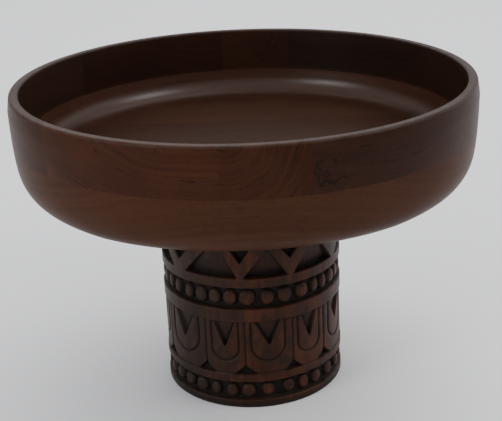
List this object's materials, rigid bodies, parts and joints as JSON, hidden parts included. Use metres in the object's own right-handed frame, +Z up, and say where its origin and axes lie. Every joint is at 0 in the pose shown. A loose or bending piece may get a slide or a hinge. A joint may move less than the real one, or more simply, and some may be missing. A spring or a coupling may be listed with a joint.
{
  "type": "footed wooden bowl",
  "caption": "Wide turned wooden bowl with straight walls and a flat floor, glued up from boards and set on a drum pedestal carved with chevrons, bead rows and leaves.",
  "frame": {"origin": "centre of the pedestal's foot, on the surface it stands on", "axes": "+Z up along the turning axis, -Y towards the front, +X to the right as seen from the front"},
  "size_m": [0.354, 0.354, 0.247],
  "materials": {
    "walnut_rim_red": "satin, waxed",
    "walnut_rim_brown": "satin, waxed",
    "walnut_floor": "satin, waxed",
    "walnut_carved": "satin, waxed, dark in the recesses",
    "walnut_carved_grey": "satin, waxed, dark in the recesses",
    "dowel_wood": "raw, sealed inside the joint"
  },
  "bodies": {
    "root": {"rim_left_end": "walnut_rim_brown", "rim_front_wide": "walnut_rim_red", "rim_front_middle": "walnut_rim_red", "rim_front_right": "walnut_rim_brown", "rim_right_end": "walnut_rim_brown", "rim_back_right": "walnut_rim_brown", "rim_back_middle": "walnut_rim_red", "rim_back_wide": "walnut_rim_red", "floor_board_front": "walnut_floor", "floor_board_mid_front": "walnut_floor", "floor_board_mid_back": "walnut_floor", "floor_board_back": "walnut_floor", "stem_board_1": "walnut_carved_grey", "stem_board_2": "walnut_carved_grey", "stem_board_3": "walnut_carved", "stem_board_4": "walnut_carved", "stem_board_5": "walnut_carved", "stem_board_6": "walnut_carved", "centre_dowel": "dowel_wood"}
  },
  "joints": []
}
